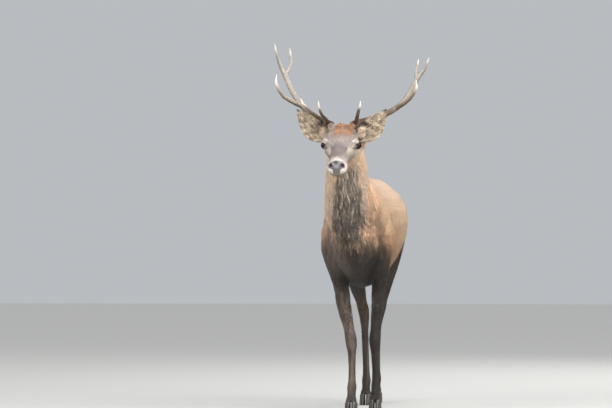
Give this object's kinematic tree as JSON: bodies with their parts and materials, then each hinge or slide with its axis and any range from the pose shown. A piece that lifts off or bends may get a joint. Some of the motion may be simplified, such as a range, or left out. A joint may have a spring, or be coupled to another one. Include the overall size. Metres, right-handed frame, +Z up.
{
  "type": "red deer stag, life-size still figure",
  "caption": "Standing red deer stag in mid-walk, head up, with branched antlers, upright ears and a short coat; a still figure that rests on its four hooves.",
  "frame": {"origin": "on the floor under the middle of the bounding box", "axes": "+Z up, the stag faces -Y, +X is the stag's left side"},
  "size_m": [0.7788, 1.708, 1.8637],
  "materials": {
    "coat_flank": "short sandy red-brown hair, lying flat",
    "coat_neck": "longer grizzled grey-brown neck hair, ochre at the sides",
    "coat_face": "very short grey-brown and cream hair",
    "coat_dark": "short dark brown leg hair",
    "antler": "dry ridged bone, brown below and ivory at the tips",
    "hoof_horn": "satin black horn",
    "eye": "wet, near black"
  },
  "bodies": {
    "root": {"antler_left_beam_lower": "antler", "antler_left_beam_upper": "antler", "antler_left_brow": "antler", "antler_left_top_inner": "antler", "antler_left_top_outer": "antler", "antler_left_trez": "antler", "antler_right_beam_lower": "antler", "antler_right_beam_upper": "antler", "antler_right_bez": "antler", "antler_right_brow": "antler", "antler_right_top_inner": "antler", "antler_right_top_outer": "antler", "antler_right_trez": "antler", "barrel": "coat_flank", "chest": "coat_flank", "ear_left": "coat_face", "ear_right": "coat_face", "eye_left": "eye", "eye_right": "eye", "foreleg_left_cannon": "coat_dark", "foreleg_left_forearm": "coat_dark", "foreleg_left_pastern": "coat_dark", "foreleg_right_cannon": "coat_dark", "foreleg_right_forearm": "coat_dark", "foreleg_right_pastern": "coat_dark", "head": "coat_face", "hindleg_left_cannon": "coat_dark", "hindleg_left_gaskin": "coat_dark", "hindleg_left_pastern": "coat_dark", "hindleg_left_thigh": "coat_dark", "hindleg_right_cannon": "coat_dark", "hindleg_right_gaskin": "coat_dark", "hindleg_right_pastern": "coat_dark", "hindleg_right_thigh": "coat_dark", "hoof_fore_left_inner": "hoof_horn", "hoof_fore_left_outer": "hoof_horn", "hoof_fore_right_inner": "hoof_horn", "hoof_fore_right_outer": "hoof_horn", "hoof_hind_left_inner": "hoof_horn", "hoof_hind_left_outer": "hoof_horn", "hoof_hind_right_inner": "hoof_horn", "hoof_hind_right_outer": "hoof_horn", "lower_jaw": "coat_face", "muzzle": "coat_face", "neck_lower": "coat_neck", "neck_upper": "coat_neck", "rump": "coat_flank", "tail": "coat_neck"}
  },
  "joints": []
}
